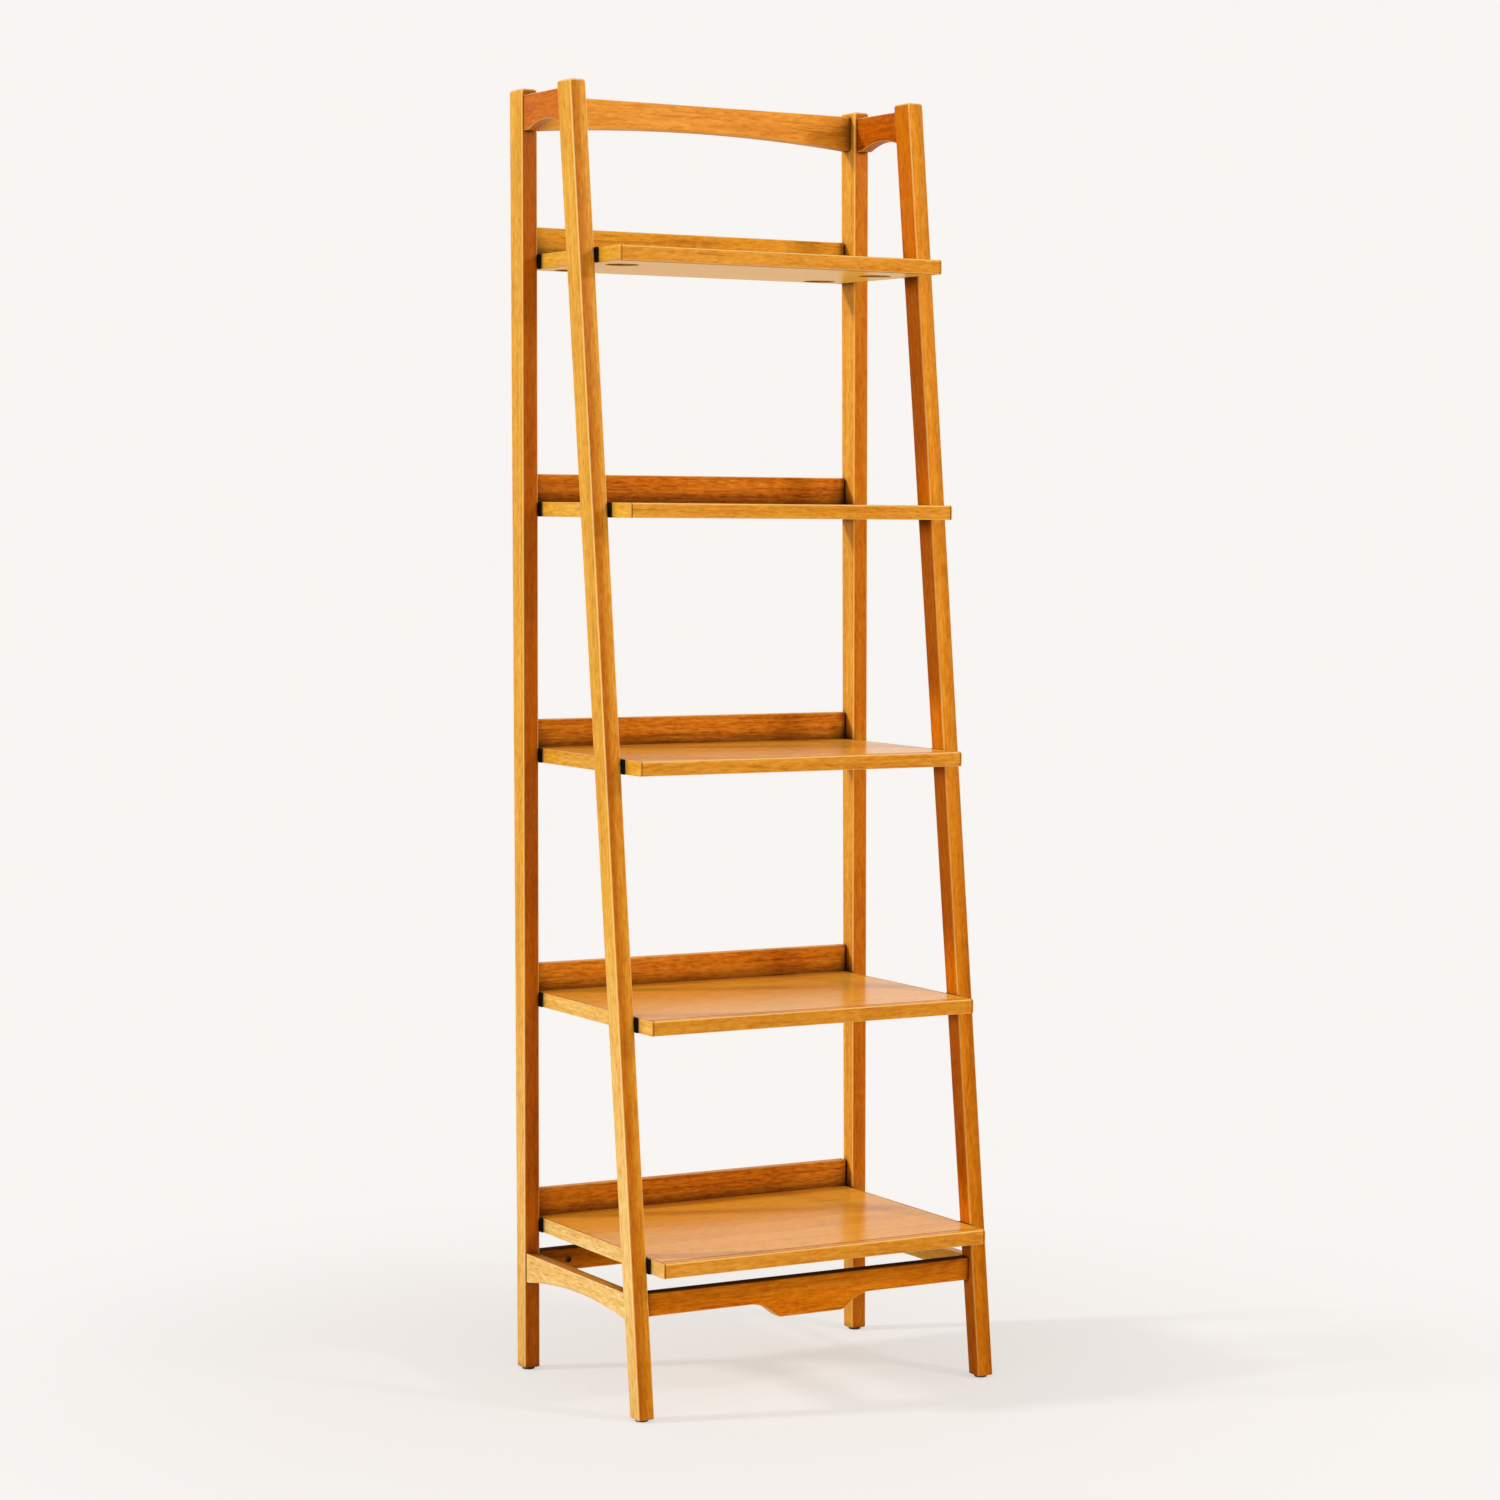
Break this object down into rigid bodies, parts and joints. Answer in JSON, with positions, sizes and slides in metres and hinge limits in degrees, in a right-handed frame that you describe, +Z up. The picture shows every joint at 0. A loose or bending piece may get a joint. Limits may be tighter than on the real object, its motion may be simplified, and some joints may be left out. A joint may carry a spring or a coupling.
{
  "type": "ladder shelf",
  "caption": "Free-standing wooden ladder shelf with leaning tapered legs, arched rails and open shelves with back ledges that grow deeper towards the floor.",
  "frame": {"origin": "on the floor under the middle of the outer box", "axes": "+X to the right seen from the front, +Y to the back, +Z up"},
  "size_m": [0.615, 0.4622, 1.95],
  "materials": {
    "leg_wood": "satin lacquer",
    "rail_wood": "satin lacquer",
    "shelf_veneer": "satin lacquer",
    "lipping_wood": "satin lacquer",
    "ledge_wood": "satin lacquer",
    "dowel_wood": "plain",
    "spacer_black": "matt",
    "foot_black": "matt",
    "pad_grey": "matt",
    "zinc_steel": "zinc plated",
    "black_steel": "black oxide",
    "insert_brass": "plain"
  },
  "bodies": {
    "frame": {"back_ledge_1": "ledge_wood", "back_ledge_2": "ledge_wood", "back_ledge_3": "ledge_wood", "back_ledge_4": "ledge_wood", "back_ledge_5": "ledge_wood", "back_ledge_dowels": "dowel_wood", "bottom_side_rail_left": "rail_wood", "bottom_side_rail_right": "rail_wood", "cross_rail_barrel_nuts": "black_steel", "cross_rail_dowels": "dowel_wood", "cross_rail_studs": "zinc_steel", "foot_sockets": "foot_black", "front_apron": "rail_wood", "leg_front_left": "leg_wood", "leg_front_right": "leg_wood", "leg_rear_left": "leg_wood", "leg_rear_right": "leg_wood", "rear_apron": "rail_wood", "shelf_bolt_inserts": "insert_brass", "shelf_bolts": "zinc_steel", "shelf_front_lipping_1": "lipping_wood", "shelf_front_lipping_2": "lipping_wood", "shelf_front_lipping_3": "lipping_wood", "shelf_front_lipping_4": "lipping_wood", "shelf_front_lipping_5": "lipping_wood", "shelf_panel_1": "shelf_veneer", "shelf_panel_2": "shelf_veneer", "shelf_panel_3": "shelf_veneer", "shelf_panel_4": "shelf_veneer", "shelf_panel_5": "shelf_veneer", "shelf_side_lippings_1": "lipping_wood", "shelf_side_lippings_2": "lipping_wood", "shelf_side_lippings_3": "lipping_wood", "shelf_side_lippings_4": "lipping_wood", "shelf_side_lippings_5": "lipping_wood", "shelf_spacers": "spacer_black", "side_rail_dowels": "dowel_wood", "top_back_rail": "rail_wood", "top_side_rail_left": "rail_wood", "top_side_rail_right": "rail_wood"},
    "pad_front_left": {"level_pad_front_left": "pad_grey"},
    "screw_front_left": {"level_screw_front_left": "zinc_steel"},
    "pad_front_right": {"level_pad_front_right": "pad_grey"},
    "screw_front_right": {"level_screw_front_right": "zinc_steel"},
    "pad_rear_left": {"level_pad_rear_left": "pad_grey"},
    "screw_rear_left": {"level_screw_rear_left": "zinc_steel"},
    "pad_rear_right": {"level_pad_rear_right": "pad_grey"},
    "screw_rear_right": {"level_screw_rear_right": "zinc_steel"}
  },
  "joints": [
    {"name": "level_travel_front_left", "type": "slide", "parent": "frame", "child": "pad_front_left", "axis": [0, 0, -1], "range_m": [0, 0.008]},
    {"name": "level_turn_front_left", "type": "hinge", "parent": "pad_front_left", "child": "screw_front_left", "pos_m": [-0.2937, -0.19744, 0.0027], "axis": [0, 0, -1], "range_deg": [0, 3000]},
    {"name": "level_travel_front_right", "type": "slide", "parent": "frame", "child": "pad_front_right", "axis": [0, 0, -1], "range_m": [0, 0.008]},
    {"name": "level_turn_front_right", "type": "hinge", "parent": "pad_front_right", "child": "screw_front_right", "pos_m": [0.2937, -0.19744, 0.0027], "axis": [0, 0, -1], "range_deg": [0, 3000]},
    {"name": "level_travel_rear_left", "type": "slide", "parent": "frame", "child": "pad_rear_left", "axis": [0, 0, -1], "range_m": [0, 0.008]},
    {"name": "level_turn_rear_left", "type": "hinge", "parent": "pad_rear_left", "child": "screw_rear_left", "pos_m": [-0.2937, 0.17118, 0.0027], "axis": [0, 0, -1], "range_deg": [0, 3000]},
    {"name": "level_travel_rear_right", "type": "slide", "parent": "frame", "child": "pad_rear_right", "axis": [0, 0, -1], "range_m": [0, 0.008]},
    {"name": "level_turn_rear_right", "type": "hinge", "parent": "pad_rear_right", "child": "screw_rear_right", "pos_m": [0.2937, 0.17118, 0.0027], "axis": [0, 0, -1], "range_deg": [0, 3000]}
  ],
  "couplings": [
    {"joint": "level_turn_front_left", "follows": "level_travel_front_left", "rad_per_m": 6283.2},
    {"joint": "level_turn_front_right", "follows": "level_travel_front_right", "rad_per_m": 6283.2},
    {"joint": "level_turn_rear_left", "follows": "level_travel_rear_left", "rad_per_m": 6283.2},
    {"joint": "level_turn_rear_right", "follows": "level_travel_rear_right", "rad_per_m": 6283.2}
  ]
}
